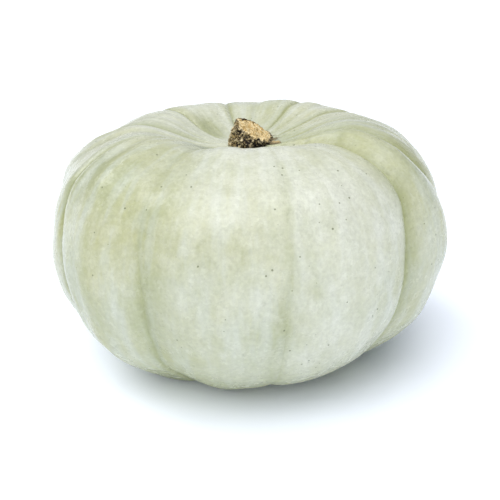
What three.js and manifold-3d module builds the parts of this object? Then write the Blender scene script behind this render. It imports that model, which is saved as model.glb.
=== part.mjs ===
// A crown pumpkin: a broad, flattened, ribbed squash fruit with the short corky stump of its stem.
// Millimetres, +Z up. The origin is on the surface that the fruit rests on, under the middle of its box.
// Azimuth 0 faces the front, -Y, and grows towards +X.
import * as THREE from "three";
import { NURBSCurve } from "three/addons/curves/NURBSCurve.js";
import Module from "manifold-3d";

// Handles of the crest meridian, from the seat of the stem round to the blossom scar.
// Each is [radius, height, depth of a full groove there]; the curve is a clamped cubic B-spline.
const MERIDIAN = [
  [0, 142, 0],
  [10, 142, 0],
  [21, 142, 1.5],
  [42, 149, 5.5],
  [66, 160, 6],
  [92, 153.5, 5.5],
  [124, 134, 5.5],
  [136, 81, 7],
  [120, 33, 6],
  [77, 2, 6.5],
  [56, -5, 6],
  [27, 5, 3],
  [0, 7, 0],
];

// Each rib runs from its own groove to the next one round the fruit.
// azimuth and depth are the groove's, in degrees and as a share of a full groove; swell is the rib's, in mm.
const RIBS = [
  { azimuth: -113, depth: 1.0, swell: -5.0 },
  { azimuth: -59, depth: 0.75, swell: 0.5 },
  { azimuth: -25, depth: 0.65, swell: -1.0 },
  { azimuth: 10, depth: 0.65, swell: -2.0 },
  { azimuth: 50, depth: 1.3, swell: -0.5 },
  { azimuth: 84, depth: 1.2, swell: -1.0 },
  { azimuth: 126, depth: 0.45, swell: -1.0 },
  { azimuth: 152, depth: 0.45, swell: -1.0 },
  { azimuth: 190, depth: 0.5, swell: -1.0 },
  { azimuth: 224, depth: 0.55, swell: -3.0 },
];

const GROOVE_BROAD = 0.5; // share of a groove that is a wide hollow; the rest is its narrow crease
const CREASE_POWER = 5; // how narrow the crease is
const LEAN = 0.016; // how much the crown rises towards +X, per mm
const LEAN_HEIGHT = 80; // the lean fades out between here and the feet
const FEET = 0; // the ribs' feet are flat at this height, where the fruit's weight rests

const SEGMENTS_PER_RIB = 10;
const MERIDIAN_STEPS = 40;

const STEM = {
  foot: [3.5, 0, 139], // middle of the foot, before it is cut to fit the fruit
  cut: [6, 0, 152], // middle of the slanting cut end
  cutSlope: 23, // degrees, down towards +X
  footRadius: 14.8,
  cutRadius: 12.4,
  flare: 2.4, // how far the foot spreads past footRadius
  flutes: 5,
  fluteDepth: 0.7,
  gap: 0.3, // between the fruit and the cut foot
};
const STEM_SIDES = 30;
const STEM_RINGS = 8;

const rindMaterial = new THREE.MeshStandardMaterial({ color: 0xd5dac0, roughness: 0.42, metalness: 0 });
const corkMaterial = new THREE.MeshStandardMaterial({ color: 0xb4945e, roughness: 0.9, metalness: 0 });

function clampedCubic(handles) {
  const degree = 3;
  const spans = handles.length - degree;
  const inner = Array.from({ length: spans - 1 }, (_, i) => i + 1);
  const knots = [...Array(degree + 1).fill(0), ...inner, ...Array(degree + 1).fill(spans)];
  const points = handles.map(([radius, height, depth]) => new THREE.Vector4(radius, height, depth, 1));
  return new NURBSCurve(degree, knots, points);
}

// A closed mesh from rings of points that run from one pole to the other, each ring anticlockwise seen from above.
function closedRings(topPole, rings, bottomPole) {
  const sides = rings[0].length;
  const points = [topPole, ...rings.flat(), bottomPole];
  const at = (ring, side) => 1 + ring * sides + (side % sides);
  const last = points.length - 1;
  const index = [];
  for (let side = 0; side < sides; side++) {
    index.push(0, at(0, side), at(0, side + 1));
    index.push(last, at(rings.length - 1, side + 1), at(rings.length - 1, side));
  }
  for (let ring = 0; ring + 1 < rings.length; ring++)
    for (let side = 0; side < sides; side++) {
      const [a, b] = [at(ring, side), at(ring, side + 1)];
      const [c, d] = [at(ring + 1, side), at(ring + 1, side + 1)];
      index.push(a, c, b, b, c, d);
    }
  return new THREE.BufferGeometry().setFromPoints(points).setIndex(index);
}

// The azimuths that the fruit is built on, with how far each lies into a groove and up a rib.
function ribColumns() {
  return RIBS.flatMap((rib, i) => {
    const next = RIBS[(i + 1) % RIBS.length];
    const width = (next.azimuth - rib.azimuth + 360) % 360;
    return Array.from({ length: SEGMENTS_PER_RIB }, (_, step) => {
      const across = step / SEGMENTS_PER_RIB;
      const nearness = (1 + Math.cos(2 * Math.PI * across)) / 2;
      const shape = GROOVE_BROAD * nearness + (1 - GROOVE_BROAD) * nearness ** CREASE_POWER;
      return {
        azimuth: THREE.MathUtils.degToRad(rib.azimuth + across * width),
        groove: shape * (across < 0.5 ? rib.depth : next.depth),
        swell: rib.swell * (1 - nearness),
      };
    });
  });
}

// The crest meridian is pushed along its own normal, in by the groove and out by the rib's swell.
// Then the crown is leant, and what would reach below the feet is flattened.
function fruitGeometry() {
  const meridian = clampedCubic(MERIDIAN);
  const columns = ribColumns();
  const rings = [];
  for (let step = 1; step < MERIDIAN_STEPS; step++) {
    const along = step / MERIDIAN_STEPS;
    const { x: radius, y: height, z: depth } = meridian.getPoint(along);
    const tangent = meridian.getTangent(along);
    const normal = new THREE.Vector2(-tangent.y, tangent.x).normalize();
    const ring = columns.map(({ azimuth, groove, swell }) => {
      const push = swell * Math.sin(Math.PI * along) - groove * depth;
      const r = radius + push * normal.x;
      const z = height + push * normal.y;
      const x = r * Math.sin(azimuth);
      const lean = LEAN * x * THREE.MathUtils.clamp(z / LEAN_HEIGHT, 0, 1);
      return new THREE.Vector3(x, -r * Math.cos(azimuth), Math.max(z + lean, FEET));
    });
    rings.push(ring);
  }
  const pole = ([, height]) => new THREE.Vector3(0, 0, height);
  return closedRings(pole(MERIDIAN[0]), rings, pole(MERIDIAN.at(-1)));
}

// A short stump from the foot to the slanting cut, with a spreading foot and shallow flutes.
function stemBlank() {
  const foot = new THREE.Vector3(...STEM.foot);
  const cut = new THREE.Vector3(...STEM.cut);
  const slope = Math.tan(THREE.MathUtils.degToRad(STEM.cutSlope));
  const rings = [];
  for (let step = 0; step <= STEM_RINGS; step++) {
    const rise = 1 - step / STEM_RINGS;
    const middle = new THREE.Vector3().lerpVectors(foot, cut, rise);
    const radius = THREE.MathUtils.lerp(STEM.footRadius, STEM.cutRadius, rise) + STEM.flare * (1 - rise) ** 3;
    const ring = [];
    for (let side = 0; side < STEM_SIDES; side++) {
      const turn = (2 * Math.PI * side) / STEM_SIDES;
      const r = radius + STEM.fluteDepth * Math.cos(STEM.flutes * turn);
      const x = r * Math.sin(turn);
      ring.push(new THREE.Vector3(middle.x + x, middle.y - r * Math.cos(turn), middle.z - slope * rise * x));
    }
    rings.push(ring);
  }
  return closedRings(cut, rings, foot);
}

const manifold = await Module();
manifold.setup();

function toSolid(geometry) {
  const vertProperties = Float32Array.from(geometry.attributes.position.array);
  const triVerts = Uint32Array.from(geometry.index.array);
  return new manifold.Manifold(new manifold.Mesh({ numProp: 3, vertProperties, triVerts }));
}

function toGeometry(solid) {
  const { vertProperties, triVerts } = solid.getMesh();
  const geometry = new THREE.BufferGeometry();
  geometry.setAttribute("position", new THREE.BufferAttribute(vertProperties, 3));
  return geometry.setIndex(new THREE.BufferAttribute(triVerts, 1));
}

const fruitShape = fruitGeometry();
const fruit = new THREE.Mesh(fruitShape, rindMaterial);
fruit.name = "fruit";

// The stem's foot takes the shape of the seat and the shoulders that it stands on.
const seat = toSolid(fruitShape).translate([0, 0, STEM.gap]);
const stem = new THREE.Mesh(toGeometry(toSolid(stemBlank()).subtract(seat)), corkMaterial);
stem.name = "stem";

const pumpkin = new THREE.Group();
pumpkin.add(fruit, stem);

// The ribs differ, so the whole is moved until the middle of its box is over the origin.
const middle = new THREE.Box3().setFromObject(pumpkin).getCenter(new THREE.Vector3());
pumpkin.position.set(-middle.x, -middle.y, 0);

export default pumpkin;
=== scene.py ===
import math

import bpy
import numpy as np
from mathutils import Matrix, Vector


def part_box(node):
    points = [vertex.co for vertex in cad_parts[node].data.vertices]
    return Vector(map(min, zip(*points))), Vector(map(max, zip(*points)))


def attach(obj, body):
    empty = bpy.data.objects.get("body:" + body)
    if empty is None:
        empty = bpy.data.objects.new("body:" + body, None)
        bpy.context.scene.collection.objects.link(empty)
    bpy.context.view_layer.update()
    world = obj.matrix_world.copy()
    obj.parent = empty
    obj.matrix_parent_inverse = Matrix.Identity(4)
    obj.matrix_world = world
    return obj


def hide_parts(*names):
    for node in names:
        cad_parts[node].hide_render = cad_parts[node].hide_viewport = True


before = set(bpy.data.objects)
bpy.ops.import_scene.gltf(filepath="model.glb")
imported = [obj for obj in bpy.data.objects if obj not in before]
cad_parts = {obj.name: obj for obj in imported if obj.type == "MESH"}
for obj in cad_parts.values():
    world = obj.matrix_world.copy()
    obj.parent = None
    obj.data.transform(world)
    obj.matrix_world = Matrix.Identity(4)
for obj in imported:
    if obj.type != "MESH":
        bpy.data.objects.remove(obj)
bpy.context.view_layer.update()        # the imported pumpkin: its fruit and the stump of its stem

mm = 0.001
fruitLow, fruitHigh = (np.array(corner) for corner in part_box("fruit"))
middle = (fruitLow + fruitHigh) / 2
print("frame loaded:", len(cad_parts), "nodes")


def linear(hexColour):
    # an sRGB hex colour as the linear numbers that a shader takes, with an alpha of 1
    channels = [int(hexColour[i:i + 2], 16) / 255 for i in (1, 3, 5)]
    return [c / 12.92 if c <= 0.04045 else ((c + 0.055) / 1.055) ** 2.4 for c in channels] + [1.0]


def smooth(low, high, x):
    # 0 at low and before it, 1 at high and past it, and a smooth step between; low may be the greater
    t = np.clip((x - low) / (high - low), 0, 1)
    return t * t * (3 - 2 * t)


def waves(points, length, seed, count=26):
    # sum of plane cosine waves that run in random directions, with wavelengths near length; it averages 0, and
    # its standard deviation is 1
    draw = np.random.default_rng(seed)
    direction = draw.normal(size=(count, points.shape[-1]))
    direction /= np.linalg.norm(direction, axis=1, keepdims=True)
    pace = 2 * np.pi / (length * draw.uniform(0.7, 1.4, count))
    phase = draw.uniform(0, 2 * np.pi, count)
    return np.cos(points @ (direction * pace[:, None]).T + phase).sum(-1) * math.sqrt(2 / count)


def splinePoints(handles, along):
    # clamped cubic B-spline with these handles, by the Cox and de Boor recursion on whole arrays; along runs
    # from 0 to 1
    degree = 3
    spans = len(handles) - degree
    knots = np.concatenate([[0] * degree, np.arange(spans + 1), [spans] * degree]).astype(float)
    t = np.clip(np.asarray(along) * spans, 0, spans - 1e-9)[:, None]
    basis = ((knots[:-1] <= t) & (t < knots[1:])).astype(float)
    for d in range(1, degree + 1):
        rise = np.where(knots[d:-1] > knots[:-d - 1], knots[d:-1] - knots[:-d - 1], 1)
        fall = np.where(knots[d + 1:] > knots[1:-d], knots[d + 1:] - knots[1:-d], 1)
        basis = (t - knots[:-d - 1]) / rise * basis[:, :-1] + (knots[d + 1:] - t) / fall * basis[:, 1:]
    return basis @ np.asarray(handles, float)


def makeMesh(name, vertices, faces, attributes, material):
    # vertices and faces are whole arrays; faces is a list of arrays, each with its own number of corners
    mesh = bpy.data.meshes.new(name)
    mesh.vertices.add(len(vertices))
    mesh.vertices.foreach_set("co", np.ascontiguousarray(vertices, np.float32).ravel())
    corners = np.concatenate([f.ravel() for f in faces]).astype(np.int32)
    totals = np.concatenate([np.full(len(f), f.shape[1]) for f in faces]).astype(np.int32)
    mesh.loops.add(len(corners))
    mesh.loops.foreach_set("vertex_index", corners)
    mesh.polygons.add(len(totals))
    mesh.polygons.foreach_set("loop_start", np.concatenate([[0], np.cumsum(totals)[:-1]]).astype(np.int32))
    mesh.polygons.foreach_set("loop_total", totals)
    mesh.polygons.foreach_set("use_smooth", np.ones(len(totals), bool))
    for label, values in attributes.items():
        kind, field = ("FLOAT_VECTOR", "vector") if values.ndim > 1 else ("FLOAT", "value")
        layer = mesh.attributes.new(label, kind, "POINT")
        layer.data.foreach_set(field, np.ascontiguousarray(values, np.float32).ravel())
    mesh.update(calc_edges=True)
    mesh.validate()
    mesh.materials.append(material)
    piece = bpy.data.objects.new(name, mesh)
    bpy.context.scene.collection.objects.link(piece)
    return piece


def ringFaces(rings, sides):
    # faces of a closed surface: a pole, rings of sides points that turn towards +X at the front, and a pole
    ring, side = np.meshgrid(np.arange(rings - 1), np.arange(sides), indexing="ij")
    after = (side + 1) % sides
    here = 1 + ring * sides
    quads = np.stack([here + side, here + sides + side, here + sides + after, here + after], -1)
    turn, last = np.arange(sides), 1 + (rings - 1) * sides
    top = np.stack([np.zeros_like(turn), 1 + turn, 1 + (turn + 1) % sides], -1)
    bottom = np.stack([np.full_like(turn, last + sides), last + (turn + 1) % sides, last + turn], -1)
    return [quads.reshape(-1, 4), top, bottom]


def perPoint(values, grid, first, last):
    # a value for the first pole, one for each point of the grid, and one for the last pole
    values = np.broadcast_to(values, grid + np.shape(values)[2:])
    return np.concatenate([[first], values.reshape((-1,) + values.shape[2:]), [last]])


def addNode(tree, kind, values=None, links=None, **settings):
    # a node with its settings, the values of its inputs and the outputs that are linked to them
    made = tree.nodes.new(kind)
    for name, value in settings.items():
        setattr(made, name, value)
    for socket, value in (values or {}).items():
        made.inputs[socket].default_value = value
    for socket, source in (links or {}).items():
        tree.links.new(source, made.inputs[socket])
    return made


def newMaterial(name):
    # an empty material and its node tree
    material = bpy.data.materials.new(name)
    material.use_nodes = True
    material.node_tree.nodes.clear()
    return material, material.node_tree


cameraSet = {
    "elevation": 20.8,      # degrees above the horizon, seen from the middle of the fruit
    "distance": 0.537,      # from the middle of the fruit
    "lens": 57.0,
    "sensor": 36.0,
    "lookDown": 0.0112,     # how far below and to the right of the middle it looks
    "lookRight": 0.0018,
}
tilt = math.radians(cameraSet["elevation"])
eye = Vector(middle) + Vector((0, -math.cos(tilt), math.sin(tilt))) * cameraSet["distance"]
lookAt = Vector(middle) + Vector((cameraSet["lookRight"], 0, -cameraSet["lookDown"]))
cameraData = bpy.data.cameras.new("studioCamera")
cameraData.lens = cameraSet["lens"]
cameraData.sensor_width = cameraSet["sensor"]
cameraData.clip_start = 0.01
studioCamera = bpy.data.objects.new("studioCamera", cameraData)
studioCamera.location = eye
studioCamera.rotation_mode = "QUATERNION"
studioCamera.rotation_quaternion = (eye - lookAt).to_track_quat("Z", "Y")
bpy.context.scene.collection.objects.link(studioCamera)
bpy.context.scene.camera = studioCamera
print("camera ready")


rindLook = {
    "bloom": "#D1D3C4",             # powdery wax where it lies thick
    "skin": "#A8AD8A",              # grey-green skin where the wax is thin
    "blueGrey": "#AAB4A6",
    "yellowGreen": "#AEAF82",
    "groove": "#93986A",
    "scar": "#8C7850",
    "speck": "#63694A",
    "patchSize": 46 * mm,           # broad patches of more and less wax
    # the seed puts a pale wax patch on the upper left of the front, where it is partly a painted highlight
    "highlightPatchSeed": 7.9,
    "patchSwing": 0.24,             # how far the patches, washes and mottle take the share of wax up and down
    "washWidth": 8 * mm,            # washes that run along the ribs
    "washSwing": 0.20,
    "mottleSize": 9 * mm,
    "mottleSwing": 0.13,
    "blueWash": 0.6,                # share of blue-grey in the strongest wash
    "fleckSize": 2.2 * mm,
    "fleckTone": (0.90, 1.08),      # brightness of the dark and the light flecks
    "speckSpacing": 5 * mm,
    "speckRadius": 0.7 * mm,
    "speckShare": 0.75,
    "dentSize": 8 * mm,
    "dentDepth": 0.7 * mm,
    "poreSize": 1.3 * mm,
    "poreDepth": 0.12 * mm,
    "gloss": (0.21, 0.31),          # roughness where the wax is rubbed and where it is dull
    "ior": 1.45,
}

# Waxy rind of a crown pumpkin: a tough skin under a bloom of wax, as it grew. The eye gets a pale, chalky
# grey-green with a soft gloss, whiter where the wax is thick, yellow-green where the ribs meet, and dotted with
# small pores. Its colour also holds painted shade, darker and greener underneath, and a pale wax patch on the
# upper left of the front that is partly a painted highlight.
waxyRind, tree = newMaterial("waxyRind")
place = addNode(tree, "ShaderNodeTexCoord").outputs["Object"]
waxAndUndersideShade, grooveColourShare, scarShare = (addNode(tree, "ShaderNodeAttribute", attribute_name=name).outputs["Fac"]
                                    for name in ("wax", "crease", "scar"))
flow = addNode(tree, "ShaderNodeAttribute", attribute_name="flow").outputs["Vector"]

# the seed of these patches puts a pale one on the upper left of the front, partly a painted highlight
waxPatchesAndHighlight = addNode(tree, "ShaderNodeTexNoise",
                  {"Scale": 1 / rindLook["patchSize"], "Detail": 3.0, "Roughness": 0.55,
                   "W": rindLook["highlightPatchSeed"]},
                  {"Vector": place}, noise_dimensions="4D")
mottle = addNode(tree, "ShaderNodeTexNoise",
                 {"Scale": 1 / rindLook["mottleSize"], "Detail": 4.0, "Roughness": 0.6}, {"Vector": place})
flecks = addNode(tree, "ShaderNodeTexNoise",
                 {"Scale": 1 / rindLook["fleckSize"], "Detail": 2.0, "Roughness": 0.6}, {"Vector": place})
washes = addNode(tree, "ShaderNodeTexNoise",
                 {"Scale": 1 / rindLook["washWidth"], "Detail": 3.0, "Roughness": 0.6}, {"Vector": flow})

# wax: the share laid down over the fruit, less underneath where it is partly painted shade, made uneven by the
# patches, the washes and the mottle; one pale patch is partly a painted highlight
waxPaintedLightSum = waxAndUndersideShade
for source, swing in ((waxPatchesAndHighlight, rindLook["patchSwing"]), (washes, rindLook["washSwing"]),
                      (mottle, rindLook["mottleSwing"])):
    uneven = addNode(tree, "ShaderNodeMapRange", {1: 0.3, 2: 0.7, 3: -swing, 4: swing},
                     {0: source.outputs["Fac"]})
    waxPaintedLightSum = addNode(tree, "ShaderNodeMath", None, {0: waxPaintedLightSum, 1: uneven.outputs[0]},
                     operation="ADD").outputs[0]
waxPaintedLightShare = addNode(tree, "ShaderNodeClamp", None, {"Value": waxPaintedLightSum})

# colour: skin from grey-green to yellow-green, blue-grey washes, then wax, creases with the painted shade
# underneath, flecks, specks and the scar
skinTint = addNode(tree, "ShaderNodeMapRange", {1: 0.4, 2: 0.62}, {0: waxPatchesAndHighlight.outputs["Color"]})
skin = addNode(tree, "ShaderNodeMix", {"A": linear(rindLook["skin"]), "B": linear(rindLook["yellowGreen"])},
               {"Factor": skinTint.outputs[0]}, data_type="RGBA")
blueTint = addNode(tree, "ShaderNodeMapRange", {1: 0.48, 2: 0.68, 3: 0.0, 4: rindLook["blueWash"]},
                   {0: washes.outputs["Fac"]})
skinBlue = addNode(tree, "ShaderNodeMix", {"B": linear(rindLook["blueGrey"])},
                   {"Factor": blueTint.outputs[0], "A": skin.outputs["Result"]}, data_type="RGBA")
waxedWithPaintedLight = addNode(tree, "ShaderNodeMix", {"B": linear(rindLook["bloom"])},
                {"Factor": waxPaintedLightShare.outputs[0], "A": skinBlue.outputs["Result"]}, data_type="RGBA")
creasedAndShaded = addNode(tree, "ShaderNodeMix", {"B": linear(rindLook["groove"])},
                  {"Factor": grooveColourShare, "A": waxedWithPaintedLight.outputs["Result"]}, data_type="RGBA")
darkFleck, lightFleck = rindLook["fleckTone"]
fleckTint = addNode(tree, "ShaderNodeMapRange", {1: 0.25, 2: 0.75, 3: darkFleck, 4: lightFleck},
                    {0: flecks.outputs["Fac"]})
flecked = addNode(tree, "ShaderNodeMix", {"Factor": 1.0},
                  {"A": creasedAndShaded.outputs["Result"], "B": fleckTint.outputs[0]},
                  data_type="RGBA", blend_type="MULTIPLY")

# specks: discs round scattered centres, each with its own radius, and none at about half of the centres
specks = addNode(tree, "ShaderNodeTexVoronoi", {"Scale": 1 / rindLook["speckSpacing"], "Randomness": 1.0},
                 {"Vector": place})
speckReach = addNode(tree, "ShaderNodeMapRange",
                     {1: 0.5, 2: 0.8, 3: 0.0, 4: rindLook["speckRadius"] / rindLook["speckSpacing"]},
                     {0: specks.outputs["Color"]})
speckEdge = addNode(tree, "ShaderNodeMath", None, {0: speckReach.outputs[0], 1: specks.outputs["Distance"]},
                    operation="SUBTRACT")
speckTint = addNode(tree, "ShaderNodeMapRange", {1: 0.0, 2: 0.04, 3: 0.0, 4: rindLook["speckShare"]},
                    {0: speckEdge.outputs[0]})
specked = addNode(tree, "ShaderNodeMix", {"B": linear(rindLook["speck"])},
                  {"Factor": speckTint.outputs[0], "A": flecked.outputs["Result"]}, data_type="RGBA")
scarred = addNode(tree, "ShaderNodeMix", {"B": linear(rindLook["scar"])},
                  {"Factor": scarShare, "A": specked.outputs["Result"]}, data_type="RGBA")

dents = addNode(tree, "ShaderNodeTexNoise", {"Scale": 1 / rindLook["dentSize"], "Detail": 2.0},
                {"Vector": place})
pores = addNode(tree, "ShaderNodeTexNoise", {"Scale": 1 / rindLook["poreSize"], "Detail": 2.0},
                {"Vector": place})
dented = addNode(tree, "ShaderNodeBump", {"Strength": 1.0, "Distance": rindLook["dentDepth"]},
                 {"Height": dents.outputs["Fac"]})
pored = addNode(tree, "ShaderNodeBump", {"Strength": 1.0, "Distance": rindLook["poreDepth"]},
                {"Height": pores.outputs["Fac"], "Normal": dented.outputs["Normal"]})
rubbed, dull = rindLook["gloss"]
gloss = addNode(tree, "ShaderNodeMapRange", {1: 0.3, 2: 0.7, 3: rubbed, 4: dull},
                {0: mottle.outputs["Fac"]})
rindShader = addNode(tree, "ShaderNodeBsdfPrincipled", {"IOR": rindLook["ior"]},
                     {"Base Color": scarred.outputs["Result"], "Roughness": gloss.outputs[0],
                      "Normal": pored.outputs["Normal"]})
addNode(tree, "ShaderNodeOutputMaterial", None, {"Surface": rindShader.outputs["BSDF"]})
print("rind material ready")

fruitShape = {
    "columnsPerRib": 48,
    "crowding": 0.72,               # how much the columns crowd towards the grooves
    "rows": 194,
    # crest meridian from the stem's seat to the blossom scar: radius, height and depth of a full groove, in mm
    "meridian": [(0, 142, 0), (10, 142, 0), (21, 142, 1.5), (42, 149, 5.5), (66, 160, 6), (92, 153.5, 5.5),
                 (124, 134, 5.5), (136, 81, 7), (119.5, 33.5, 6), (76, 2.2, 6.5), (55, -5, 6), (27, 5, 3),
                 (0, 7, 0)],
    # each rib starts at its groove: azimuth in degrees, share of a full groove, swell in mm, share of wax, how
    # many degrees the flanks to the groove's left and right take to rise, how far it drifts round towards the
    # crown in degrees, and how much of its crease is left on the shoulder
    "ribs": [(-113, 1.0, -6.0, 0.60, 2.5, 3.0, 12, 1.0),
             (-56, 0.85, 1.2, 0.15, 2.5, 1.4, -9, 1.0),
             (-25.5, 0.8, -1.0, 0.55, 1.3, 7.0, -3, 0.3),
             (10.3, 0.5, -1.6, 0.85, 3.5, 2.5, 2.5, 0.2),
             (47, 1.0, 2.4, 0.22, 1.5, 4.0, 4.5, 1.0),
             (84, 0.8, -1.4, 0.30, 1.6, 3.5, -13, 1.3),
             (124, 0.6, -2.0, 0.50, 2.2, 2.2, 0, 1.0),
             (150, 0.55, -2.2, 0.55, 2.5, 2.0, 0, 1.0),
             (190, 0.6, -2.0, 0.60, 2.0, 2.5, 0, 1.0),
             (224, 0.7, -3.4, 0.60, 2.2, 2.2, 0, 1.0)],
    "broadShare": 0.5,              # the part of a groove's depth that is a broad hollow
    # shallow furrows between the grooves, where a ridge has a depth below 0: azimuth, depth in mm, width in
    # degrees, and where they start and end along the crest, in mm
    "furrows": [(-51, -1.3, 2.6, 60, 330), (-46.5, 0.5, 2.6, 60, 330), (-12, -0.5, 1.8, 140, 230),
                (-8.8, 0.5, 2.4, 130, 260), (28, 0.25, 3.0, 60, 330), (64, 0.4, 3.0, 60, 330),
                (-74, 0.8, 3.0, 30, 330), (-92, 0.6, 3.0, 30, 330), (104, 0.8, 4.0, 30, 330),
                (137, 0.6, 3.0, 30, 330), (172, 0.6, 3.0, 30, 330), (216, 3.0, 10.0, 24, 52),
                (208, 0.4, 3.0, 80, 330), (238, 0.6, 2.5, 30, 330)],
    "furrowEnd": 15,                # half the length over which a furrow fades in or out
    "crownEdge": (125, 35),         # along the crest, where the crown starts and where it is in full
    "shoulderRise": (70, 146),      # heights that the shoulder starts at and ends at
    "creaseTop": (12, 50),          # where the crease's tint fades in, from the stem's seat
    "creaseBottom": (20, 60),       # where it fades out, from the blossom scar
    "waxOffCrown": 0.05,            # shares of wax lost on the crown, underneath, where it is partly painted shade, and in the creases
    "waxAndShadeOffBase": 0.30,
    "waxOffCrease": 0.55,
    "waxOffHeight": 40,
    "creaseTint": 0.75,             # shares of the groove's colour in the creases and underneath, where it is partly painted shade
    "baseTintAndShade": 0.65,
    "baseTintHeight": 75,
    "tintedFurrow": 2.2,            # the depth at which a furrow is as green as a groove, in mm
    "leanRight": 0.016,             # rise of the crown per distance to the right, and fall to the front
    "leanFront": 0.018,
    "leanHeight": 80,
    "lumps": [(60, 0.5), (24, 0.2)],    # wavelength and height of the uneven growth, in mm
    "lumpsTop": (0, 60),
    "stretch": 0.2,                 # height of the stretch lines round the crown
    "stretchWidth": 9,
    "stretchTop": (14, 34),
    "flowRadius": 90,               # the cylinder that the fruit is unrolled on, for what runs along the ribs
    "flowSquash": 0.16,
    "softFeet": 0.35,               # how softly the ribs' feet flatten on the ground
    "scarRadius": 9,
    "scarEdge": 3,
    "scarRagged": (6, 1.2),         # wavelength and reach of its ragged rim
}


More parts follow.
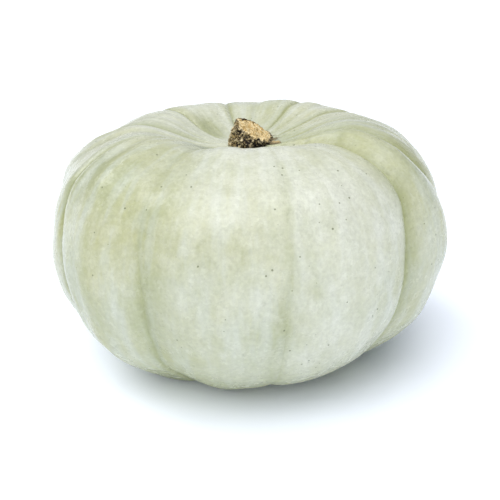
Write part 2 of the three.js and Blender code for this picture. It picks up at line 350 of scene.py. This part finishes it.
# The fruit is a function of azimuth and of distance along the crest meridian, which turns about the axis. Each
# point moves along the meridian's normal: in by groove depth times a profile, which is a broad cosine hollow plus
# a crease that falls off exponentially on each flank, in by the furrows, which are narrow bells, and out by the
# rib's swell, the lumps and the stretch lines. It gives the piece and the way from the axis to its place.
def fruitPiece(shape):
    fine = np.linspace(0, 1, 4001)
    path = splinePoints(shape["meridian"], fine)
    length = np.concatenate([[0], np.cumsum(np.hypot(*np.diff(path[:, :2], axis=0).T))])
    end = length[-1]
    along = np.interp(np.linspace(0, end, shape["rows"] + 1)[1:-1], length, fine)
    run = np.interp(along, fine, length)[:, None]
    crest = splinePoints(shape["meridian"], along)
    before, beyond = (splinePoints(shape["meridian"], along + nudge)[:, :2] for nudge in (-1e-4, 1e-4))
    step = (beyond - before) / np.linalg.norm(beyond - before, axis=1, keepdims=True)
    normal = np.stack([-step[:, 1], step[:, 0]], 1)
    crown = smooth(*shape["crownEdge"], run)
    shoulder = smooth(*shape["shoulderRise"], crest[:, 1])[:, None]

    starts, shares, swells, waxes, leftRise, rightRise, drifts, creaseLeft = np.array(shape["ribs"], float).T
    widths = np.diff(np.append(starts, starts[0] + 360))
    rib = np.repeat(np.arange(len(starts)), shape["columnsPerRib"])
    after = (rib + 1) % len(starts)
    even = np.tile(np.arange(shape["columnsPerRib"]) / shape["columnsPerRib"], len(starts))
    across = even - shape["crowding"] * np.sin(2 * np.pi * even) / (2 * np.pi)
    degrees = starts[rib] + across * widths[rib]
    azimuth = np.radians(degrees + np.interp(degrees, starts, drifts, period=360) * shoulder)

    nearness = (1 + np.cos(2 * np.pi * across)) / 2
    ownCrease = shares[rib] * np.exp(-across * widths[rib] / rightRise[rib])
    nextCrease = shares[after] * np.exp(-(1 - across) * widths[rib] / leftRise[after])
    crease = (ownCrease * (1 - (1 - creaseLeft[rib]) * shoulder)
              + nextCrease * (1 - (1 - creaseLeft[after]) * shoulder))
    depth = np.where(across < 0.5, shares[rib], shares[after])
    profile = shape["broadShare"] * nearness * depth + (1 - shape["broadShare"]) * crease
    furrow, fade = 0, shape["furrowEnd"]
    for at, deep, wide, start, stop in shape["furrows"]:
        reach = smooth(start - fade, start + fade, run) * smooth(stop + fade, stop - fade, run)
        furrow = furrow + deep * reach * np.exp(-(((degrees - at + 180) % 360 - 180) / wide) ** 2)

    radius, height = crest[:, 0][:, None], crest[:, 1][:, None]
    around = np.stack([np.sin(azimuth), -np.cos(azimuth)], -1)
    grid = azimuth.shape
    bare = np.dstack([radius[..., None] * around, np.broadcast_to(height, grid)])
    flow = np.dstack([shape["flowRadius"] * around, np.broadcast_to(run * shape["flowSquash"], grid)])

    push = swells[rib] * (1 - nearness) * np.sin(np.pi * along)[:, None]
    push = push - profile * crest[:, 2][:, None] - furrow
    for seed, (wavelength, rise) in enumerate(shape["lumps"], 11):
        push = push + rise * waves(bare, wavelength, seed) * smooth(*shape["lumpsTop"], run)
    lines = waves(flow, shape["stretchWidth"], 21) * crown * smooth(*shape["stretchTop"], run)
    push = push + shape["stretch"] * lines

    r = radius + push * normal[:, 0][:, None]
    z = height + push * normal[:, 1][:, None]
    x, y = r * around[..., 0], r * around[..., 1]
    lean = shape["leanRight"] * x + shape["leanFront"] * np.minimum(y, 0)
    z = z + lean * np.clip(z / shape["leanHeight"], 0, 1)
    z = shape["softFeet"] * np.logaddexp(0, z / shape["softFeet"])
    points = np.dstack([x, y, z])
    top, base = ([0, 0, shape["meridian"][i][1]] for i in (0, -1))
    outline = points.min((0, 1))[:2] + points.max((0, 1))[:2]
    toMiddle = np.append(middle[:2] - outline * mm / 2, fruitLow[2])

    top0, top1 = shape["creaseTop"]
    bottom0, bottom1 = shape["creaseBottom"]
    grooveColourShare = np.clip(crease, 0, 1) * smooth(top0, top1, run)
    grooveColourShare = grooveColourShare * smooth(end - bottom0, end - bottom1, run)
    wax = np.interp(degrees, starts + widths / 2, waxes, period=360) - shape["waxOffCrown"] * crown
    wax = wax - shape["waxAndShadeOffBase"] * smooth(shape["waxOffHeight"], 0, z) - shape["waxOffCrease"] * grooveColourShare
    hollow = np.clip(furrow / shape["tintedFurrow"], 0, 1)
    # underneath the skin is greener and darker: less wax there, and partly painted shade
    undersideTintAndShade = shape["baseTintAndShade"] * smooth(shape["baseTintHeight"], 0, z)
    bareSkinAndUndersideShade = np.maximum(np.maximum(grooveColourShare, hollow) * shape["creaseTint"], undersideTintAndShade)
    rim, edge = end - shape["scarRadius"], shape["scarEdge"]
    ragged, raggedReach = shape["scarRagged"]
    scar = smooth(rim - edge, rim + edge, run + raggedReach * waves(bare, ragged, 22))
    attributes = {
        "wax": perPoint(wax, grid, 0, 0),
        "crease": perPoint(bareSkinAndUndersideShade, grid, 0, shape["baseTintAndShade"]),
        "scar": perPoint(scar, grid, 0, 1),
        "flow": perPoint(flow * mm, grid, [0, 0, 0], [0, 0, end * shape["flowSquash"] * mm]),
    }
    vertices = perPoint(points, grid, top, base) * mm + toMiddle
    return makeMesh("ribbedRind", vertices, ringFaces(*grid), attributes, waxyRind), toMiddle


ribbedRind, fruitAxis = fruitPiece(fruitShape)
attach(ribbedRind, "root")
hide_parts("fruit")
print("fruit made:", len(ribbedRind.data.polygons), "faces")

corkLook = {
    "pale": "#DCCBA4",              # tops of the cork's grains
    "tan": "#97804F",
    # near black of the cracks and pits, also the painted shade low on the wall and under the crumb
    "creviceAndShade": "#1C140B",
    "cutFace": "#E6D3A6",
    "cutFibre": "#B4924F",
    "grain": 0.7 * mm,
    "grainShare": 0.6,              # how much the fine grain adds to the tone of each crumb of cork
    "roughDepth": 0.5 * mm,
    "roughness": 0.85,
    "ior": 1.4,
}

# Dried cork of the stem: a corky peduncle, cut and left to dry. The eye gets crumbly tan grains, nearly black in
# the cracks between them, and a paler fibrous face where it was cut. The same near black is painted shade low on
# the right of the wall and under the crumb beside it.
stemCork, tree = newMaterial("stemCork")
place = addNode(tree, "ShaderNodeTexCoord").outputs["Object"]
cracksAndShadeShare, cutShare, toneShare = (addNode(tree, "ShaderNodeAttribute", attribute_name=name).outputs["Fac"]
                                   for name in ("darkening", "cut", "tone"))
grain = addNode(tree, "ShaderNodeTexNoise", {"Scale": 1 / corkLook["grain"], "Detail": 3.0},
                {"Vector": place})
toned = addNode(tree, "ShaderNodeMath", {1: corkLook["grainShare"]},
                {0: grain.outputs["Fac"], 2: toneShare}, operation="MULTIPLY_ADD")
tone = addNode(tree, "ShaderNodeMapRange", {1: 0.2, 2: 1.2}, {0: toned.outputs[0]})
bark = addNode(tree, "ShaderNodeMix", {"A": linear(corkLook["tan"]), "B": linear(corkLook["pale"])},
               {"Factor": tone.outputs[0]}, data_type="RGBA")
face = addNode(tree, "ShaderNodeMix", {"A": linear(corkLook["cutFibre"]), "B": linear(corkLook["cutFace"])},
               {"Factor": tone.outputs[0]}, data_type="RGBA")
dry = addNode(tree, "ShaderNodeMix", None,
              {"Factor": cutShare, "A": bark.outputs["Result"], "B": face.outputs["Result"]},
              data_type="RGBA")
# mix towards near black: the cracks, the pits, the dark fibres and painted shade
crackedAndShaded = addNode(tree, "ShaderNodeMix", {"B": linear(corkLook["creviceAndShade"])},
                  {"Factor": cracksAndShadeShare, "A": dry.outputs["Result"]}, data_type="RGBA")
rough = addNode(tree, "ShaderNodeBump", {"Strength": 1.0, "Distance": corkLook["roughDepth"]},
                {"Height": grain.outputs["Fac"]})
corkShader = addNode(tree, "ShaderNodeBsdfPrincipled",
                     {"Roughness": corkLook["roughness"], "IOR": corkLook["ior"]},
                     {"Base Color": crackedAndShaded.outputs["Result"], "Normal": rough.outputs["Normal"]})
addNode(tree, "ShaderNodeOutputMaterial", None, {"Surface": corkShader.outputs["BSDF"]})
print("cork material ready")

stemShape = {
    "sides": 240,
    "wallRows": 92,
    "faceRows": 60,
    "footMiddle": (3.6, 0, 139),    # in mm, as all that follows
    "cutMiddle": (5.8, 0, 151.2),
    "slopeRight": 25,               # the cut falls towards the right and towards the front, in degrees
    "slopeFront": 11,
    "footRadius": 14.6,
    "cutRadius": 12.2,
    "flare": 0.9,
    "grainSize": 1.9,               # grains of cork
    "grainBend": 0.4,               # how far their edges are bent, by waves of this length
    "bendLength": 2.4,
    "crackWidth": (0.36, 0.04),     # shares of a grain where a crack between two starts and is in full
    "crackDepth": 1.1,
    "pitLength": 1.7,               # pits in the cut
    "pitDepth": 0.5,
    "pitFrom": (0.7, 1.7),          # the wave heights where a pit starts and is in full
    "uneven": 0.5,                  # slow lumps of the wall and of the cut
    "wallWaves": [(7, 1.0, 41), (2, 0.4, 42)],      # their wavelengths, shares and seeds
    "faceWaves": [(4, 0.7, 43), (1.4, 0.3, 45)],
    "wallEdge": (0.88, 1.0),        # shares of the way to the rim where the face turns into the wall
    "cutEdge": (0.35, 0.9),         # shares of that turn where the cut's colour ends
    "paintedShadeHeight": (149, 142),       # painted shade: the wall is darkened below these heights, on the side past these x
    "paintedShadeSide": (-6, 4),
    "paintedShadeShare": 0.75,
    "pitShare": 0.55,
}


def nearestCells(points, size, seed):
    # Worley cells: the gap between the nearest and the second nearest of random centres, over the cell's size,
    # and a random tone for each cell
    draw = np.random.default_rng(seed)
    flat = points.reshape(-1, 3)
    low, high = flat.min(0) - size, flat.max(0) + size
    centres = draw.uniform(low, high, (int(np.prod(high - low) / size ** 3), 3))
    tones = draw.uniform(0, 1, len(centres))
    gaps, nearest = [], []
    for chunk in np.array_split(flat, 80):
        distance = np.linalg.norm(chunk[:, None] - centres[None], axis=2)
        pair = np.sort(np.partition(distance, 1, axis=1)[:, :2], axis=1)
        gaps.append(pair[:, 1] - pair[:, 0])
        nearest.append(np.argmin(distance, axis=1))
    shape = points.shape[:-1]
    return np.concatenate(gaps).reshape(shape) / size, tones[np.concatenate(nearest)].reshape(shape)


# The stem is a function of turn and rise: a leaning, tapering wall from the foot to the rim of the cut, and the
# slanting face from the rim to its middle. Cracks between Worley cells dent the wall, and waves the whole.
def stemPiece(shape):
    turn = np.linspace(0, 2 * np.pi, shape["sides"], endpoint=False)
    foot, cut = np.array(shape["footMiddle"], float), np.array(shape["cutMiddle"], float)
    slopeRight, slopeFront = (math.tan(math.radians(shape[key])) for key in ("slopeRight", "slopeFront"))
    faceRows, wallRows = shape["faceRows"], shape["wallRows"]
    rise = np.concatenate([np.ones(faceRows), np.linspace(1, 0, wallRows)])[:, None]
    share = np.concatenate([np.linspace(0, 1, faceRows + 1)[1:], np.ones(wallRows)])[:, None]
    taper = shape["footRadius"] + (shape["cutRadius"] - shape["footRadius"]) * rise
    reach = taper + shape["flare"] * (1 - rise) ** 3
    out = np.stack([np.sin(turn), -np.cos(turn)], 1)
    centre = foot + (cut - foot) * rise
    wallShare = smooth(*shape["wallEdge"], share) + 0 * turn

    dx, dy = reach * share * out[:, 0], reach * share * out[:, 1]
    x, y = centre[:, :1] + dx, centre[:, 1:2] + dy
    z = centre[:, 2:] + rise * (slopeFront * dy - slopeRight * dx)
    bare = np.dstack([x, y, z])
    grid = x.shape
    bend = np.dstack([waves(bare, shape["bendLength"], seed) for seed in (31, 32, 33)])
    gap, tones = nearestCells(bare + shape["grainBend"] * bend, shape["grainSize"], 5)
    darkening = smooth(*shape["crackWidth"], gap)
    pit = smooth(*shape["pitFrom"], waves(bare, shape["pitLength"], 44))

    wallLumps, faceLumps = (sum(part * waves(bare, wavelength, seed) for wavelength, part, seed in shape[key])
                            for key in ("wallWaves", "faceWaves"))
    push = (shape["uneven"] * wallLumps - shape["crackDepth"] * darkening) * wallShare
    level = shape["uneven"] * faceLumps - shape["pitDepth"] * pit
    points = np.dstack([x + push * out[:, 0], y + push * out[:, 1], z + level * rise ** 3])

    # painted shade low on the right of the wall, added to the cracks and the pits
    paintedShade = smooth(*shape["paintedShadeHeight"], points[..., 2]) * smooth(*shape["paintedShadeSide"], points[..., 0])
    cracksPitsAndShade = np.clip(darkening + shape["paintedShadeShare"] * paintedShade, 0, 1) * wallShare
    cracksPitsAndShade = cracksPitsAndShade + shape["pitShare"] * pit * (1 - wallShare)
    attributes = {
        "darkening": perPoint(cracksPitsAndShade, grid, 0, 1),
        "cut": perPoint(1 - smooth(*shape["cutEdge"], wallShare), grid, 1, 0),
        "tone": perPoint(tones, grid, 0.5, 0.5),
    }
    vertices = perPoint(points, grid, points[0].mean(0), foot) * mm + fruitAxis
    return makeMesh("corkyStem", vertices, ringFaces(*grid), attributes, stemCork)


corkyStem = stemPiece(stemShape)
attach(corkyStem, "root")
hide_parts("stem")
print("stem made:", len(corkyStem.data.polygons), "faces")

scrapShape = {
    "middle": (20.0, -6.0, 142.2),  # a crumb of bark left at the stem's right, in mm
    "halfSize": (4.0, 2.8, 3.0),
    "crumbGrid": (24, 48),
    "dents": [(0.9, 0.13, 61), (0.35, 0.06, 62)],   # wavelength and depth over its half size, and seed
    "fibres": 12,
    "fibreLength": (3.0, 6.5),
    "fibreRadius": 0.24,
    "fibreFoot": (142.5, 147),      # heights that the fibres start at
    "fibreLift": (-0.3, 1.6),
    "fibreSwing": 2,                # how far a fibre's end may bend sideways
    "buried": 1.5,                  # how far its start is inside the stem
    "fibreCrack": 0.55,             # how dark the fibres are
    "spread": (40, 125),            # azimuths that the fibres stand at, round the stem's foot
    "footRing": 15.2,
    "sides": 6,
    "steps": 9,
    "seed": 71,
}


# The crumb is a dented ellipsoid. A fibre is a circle carried along a parabola that leaves the foot, and its
# radius falls as the square root of what is left of its length.
def scrapPiece(shape):
    rows, columns = shape["crumbGrid"]
    polar = np.linspace(0, np.pi, rows + 2)[1:-1, None]
    turn = np.linspace(0, 2 * np.pi, columns, endpoint=False)
    ball = np.dstack(np.broadcast_arrays(np.sin(polar) * np.sin(turn), -np.sin(polar) * np.cos(turn),
                                         np.cos(polar)))
    dent = sum(depth * waves(ball, wavelength, seed) for wavelength, depth, seed in shape["dents"])
    crumb = np.array(shape["middle"]) + ball * (1 + dent)[..., None] * shape["halfSize"]
    top, base = (np.array(shape["middle"]) + [0, 0, side * shape["halfSize"][2]] for side in (1, -1))
    vertices = [perPoint(crumb, ball.shape[:2], top, base)]
    faces = ringFaces(rows, columns)
    # painted shade: the crumb's lower half is darkened towards near black
    crumbShadeAndFibreDark = [perPoint(smooth(1.3, -0.1, ball[..., 2]), ball.shape[:2], 0.2, 1)]
    cuts = [perPoint(smooth(0.55, 0.95, ball[..., 2]), ball.shape[:2], 1, 0)]

    draw = np.random.default_rng(shape["seed"])
    count, steps, sides = shape["fibres"], shape["steps"], shape["sides"]
    azimuth = np.radians(draw.uniform(*shape["spread"], count))
    outward = np.stack([np.sin(azimuth), -np.cos(azimuth), 0 * azimuth], 1)
    across = np.stack([-np.cos(azimuth), -np.sin(azimuth), 0 * azimuth], 1)
    sideways = -across * draw.uniform(-shape["fibreSwing"], shape["fibreSwing"], (count, 1))
    start = outward * shape["footRing"] + np.array(stemShape["footMiddle"]) * [1, 1, 0]
    start[:, 2] = draw.uniform(*shape["fibreFoot"], count)
    run = draw.uniform(*shape["fibreLength"], count)[:, None, None]
    lift = draw.uniform(*shape["fibreLift"], count)[:, None, None] * [0, 0, 1]
    t = np.linspace(0, 1, steps)[None, :, None]
    path = start[:, None] + outward[:, None] * (run * t - shape["buried"])
    path = path + sideways[:, None] * t ** 2 + lift * t * (2 - t)
    ring = np.linspace(0, 2 * np.pi, sides, endpoint=False)[None, None, :, None]
    thin = shape["fibreRadius"] * np.sqrt(1.02 - t)[..., None]
    circle = np.cos(ring) * across[:, None, None] + np.sin(ring) * np.array([0, 0, 1])
    for tube in path[:, :, None] + thin * circle:
        offset = sum(len(part) for part in vertices)
        vertices.append(perPoint(tube, (steps, sides), tube[0].mean(0), tube[-1].mean(0)))
        faces = faces + [corners + offset for corners in ringFaces(steps, sides)]
        crumbShadeAndFibreDark.append(np.full(len(vertices[-1]), shape["fibreCrack"]))
        cuts.append(np.zeros(len(vertices[-1])))

    crumbShadeAndFibreDark = np.concatenate(crumbShadeAndFibreDark)
    attributes = {"darkening": crumbShadeAndFibreDark, "cut": np.concatenate(cuts), "tone": 0 * crumbShadeAndFibreDark + 0.5}
    return makeMesh("dryScraps", np.concatenate(vertices) * mm + fruitAxis, faces, attributes, stemCork)


dryScraps = scrapPiece(scrapShape)
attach(dryScraps, "root")
print("scraps made:", len(dryScraps.data.polygons), "faces")

studio = {
    "floorSize": 40.0,
    "paper": "#EFF4FE",
    "paperRoughness": 0.9,
    "paperSheen": 0.2,
    "sky": ("#C6D6F0", 0.24),       # faint light from above: colour and strength
    "horizon": ("#FBFCFF", 1.0),    # pale walls all round
    "horizonRise": 4,               # they start to fade at this many degrees, and have gone at twice as many
    # broad light from far off: azimuth, elevation, strength, spread in degrees, colour, and whether it is for
    # the paper alone
    "diffusers": {
        "frontBox": (-18, 60, 2.1, 66, "#FFFDFA", False),
        "leftBox": (-116, 44, 0.85, 28, "#FFFFFF", False),
        "rightBox": (29, 12, 0.50, 34, "#FFFFFF", False),
        "topBox": (0, 85, 0.75, 60, "#FFFFFF", False),
        "backWall": (180, 40, 0.45, 60, "#FFFFFF", False),
        "paperLight": (-30, 42, 1.18, 50, "#FFFFFF", True),
    },
}

# Matt white studio paper: the eye gets a plain white ground with only the soft shadow on it.
studioPaper, tree = newMaterial("studioPaper")
paperShader = addNode(tree, "ShaderNodeBsdfPrincipled",
                      {"Base Color": linear(studio["paper"]), "Roughness": studio["paperRoughness"],
                       "Specular IOR Level": studio["paperSheen"]})
addNode(tree, "ShaderNodeOutputMaterial", None, {"Surface": paperShader.outputs["BSDF"]})

half = studio["floorSize"] / 2
corners = np.array([[-half, -half, 0], [half, -half, 0], [half, half, 0], [-half, half, 0]])
floor = makeMesh("studioFloor", corners, [np.array([[0, 1, 2, 3]])], {}, studioPaper)
onPaper = bpy.data.collections.new("onPaper")
onPaper.objects.link(floor)

for name, (azimuth, elevation, strength, spread, colour, paperOnly) in studio["diffusers"].items():
    light = bpy.data.lights.new(name, "SUN")
    light.energy = strength
    light.color = linear(colour)[:3]
    light.angle = math.radians(spread)
    turn, rise = math.radians(azimuth), math.radians(elevation)
    away = Vector((math.sin(turn) * math.cos(rise), -math.cos(turn) * math.cos(rise), math.sin(rise)))
    lamp = bpy.data.objects.new(name, light)
    lamp.location = Vector(middle) + away
    lamp.rotation_mode = "QUATERNION"
    lamp.rotation_quaternion = away.to_track_quat("Z", "Y")
    if paperOnly:
        lamp.light_linking.receiver_collection = onPaper
    bpy.context.scene.collection.objects.link(lamp)

world = bpy.data.worlds.new("studioWorld")
bpy.context.scene.world = world
world.use_nodes = True
tree = world.node_tree
tree.nodes.clear()
direction = addNode(tree, "ShaderNodeTexCoord").outputs["Generated"]
height = addNode(tree, "ShaderNodeSeparateXYZ", None, {0: direction})
fadeStart, fadeEnd = (math.sin(math.radians(studio["horizonRise"] * times)) for times in (1, 2))
skyShare = addNode(tree, "ShaderNodeMapRange", {1: fadeStart, 2: fadeEnd}, {0: height.outputs["Z"]})
skyColour, horizonColour = ([channel * strength for channel in linear(colour)]
                            for colour, strength in (studio["sky"], studio["horizon"]))
walls = addNode(tree, "ShaderNodeMix", {"A": horizonColour, "B": skyColour}, {"Factor": skyShare.outputs[0]},
                data_type="RGBA")
backdrop = addNode(tree, "ShaderNodeBackground", {"Strength": 1.0}, {"Color": walls.outputs["Result"]})
addNode(tree, "ShaderNodeOutputWorld", None, {"Surface": backdrop.outputs["Background"]})
bpy.context.scene.view_settings.view_transform = "Standard"
print("studio lit")
